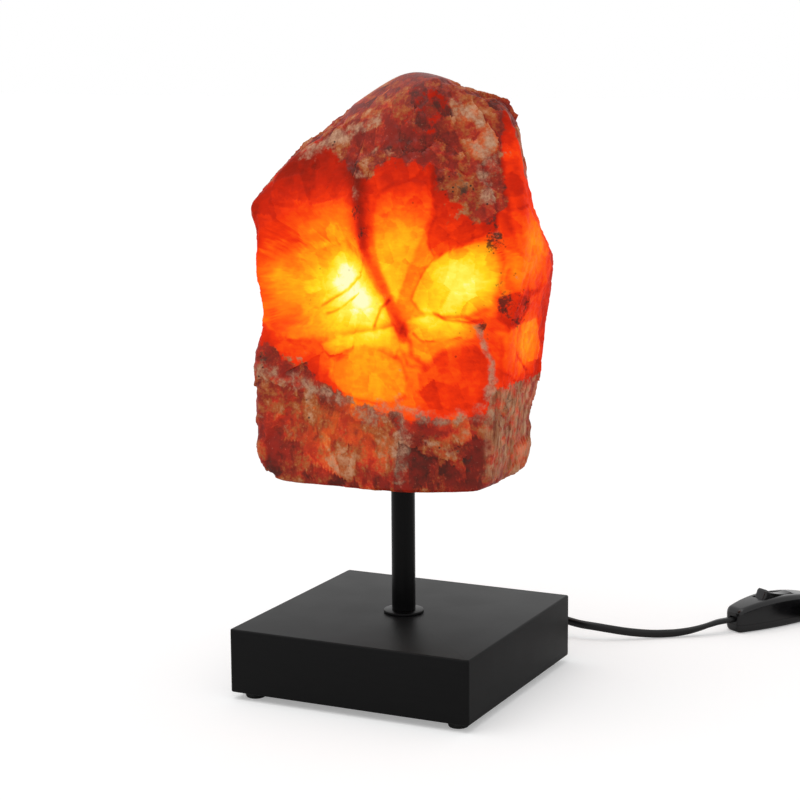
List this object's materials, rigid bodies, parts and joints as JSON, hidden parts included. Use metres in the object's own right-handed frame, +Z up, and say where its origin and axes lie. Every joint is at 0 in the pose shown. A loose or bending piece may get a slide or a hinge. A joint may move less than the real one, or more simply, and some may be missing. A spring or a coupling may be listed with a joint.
{
  "type": "aragonite lamp",
  "caption": "Table lamp: a glowing rough stone block drilled for a small bulb, on a slim black stem and a square black base, with a corded rocker switch and plug.",
  "frame": {"origin": "on the table under the stem's axis, which is the centre of the square base", "axes": "+Z up along the stem; the base's sides run along X and Y; the stone's broad lit face looks towards -Y and the cord leaves towards +Y"},
  "size_m": [0.3425, 0.326, 0.3323],
  "materials": {
    "aragonite": "rough broken stone with polished hollows, lit from within",
    "black_lacquer": "satin black lacquer",
    "black_board": "matt black fibreboard",
    "steel": "zinc plated",
    "foot_rubber": "matt",
    "black_metal": "satin black powder coat",
    "brass": "bare",
    "cork": "cork",
    "holder_black": "moulded thermoset",
    "porcelain": "glazed",
    "bulb_glass": "clear",
    "bulb_metal": "rolled",
    "black_glass": "gloss insulator with a soldered tip",
    "filament": "glowing wire",
    "wire_clear": "clear sleeve over tinned copper",
    "terminal_white": "moulded",
    "cord_black": "soft PVC",
    "switch_gloss": "polished moulding",
    "tie_black": "moulded strap",
    "plug_black": "soft moulding",
    "nickel": "nickel plated"
  },
  "bodies": {
    "root": {"base_block": "black_lacquer", "base_cover": "black_board", "cover_screws": "steel", "feet": "foot_rubber", "stem_washer": "black_metal", "stem_tube": "black_metal", "threaded_rod": "brass", "lower_washer": "steel", "lower_nut": "brass", "support_disc": "steel", "disc_pad": "cork", "lock_nut": "brass", "holder_cap": "holder_black", "holder_core": "porcelain", "holder_shell": "holder_black", "contact_sleeve": "brass", "centre_contact": "brass", "inner_wires": "wire_clear", "terminal_block": "terminal_white", "terminal_screws": "brass", "cord_gland": "cord_black", "cord_tail": "cord_black", "cord_lamp_side": "cord_black", "switch_upper_shell": "switch_gloss", "switch_lower_shell": "switch_gloss", "rocker_pin": "steel", "switch_terminals": "brass", "cord_clamps": "terminal_white", "switch_screws": "steel", "cord_switch_side": "cord_black", "cord_coil": "cord_black", "cord_tie": "tie_black", "cord_plug_side": "cord_black", "plug_body": "plug_black", "plug_relief": "plug_black", "plug_sleeves": "plug_black", "plug_pins": "nickel"},
    "stone": {"stone": "aragonite"},
    "bulb": {"bulb_glass": "bulb_glass", "bulb_cap": "bulb_metal", "bulb_contact": "black_glass", "bulb_stem": "bulb_glass", "filament": "filament"},
    "rocker": {"rocker": "switch_gloss", "contact_bridge": "brass"}
  },
  "joints": [
    {"name": "stone_lift", "type": "slide", "parent": "root", "child": "stone", "axis": [0, 0, 1], "range_m": [0, 0.122]},
    {"name": "bulb_turn", "type": "hinge", "parent": "root", "child": "bulb", "pos_m": [0, 0, 0.2], "axis": [0, 0, 1], "range_deg": [0, 1440]},
    {"name": "rocker_tilt", "type": "hinge", "parent": "root", "child": "rocker", "pos_m": [0.15336, 0.19354, 0.013], "axis": [0.848, -0.5299, 0], "range_deg": [0, 24]}
  ]
}
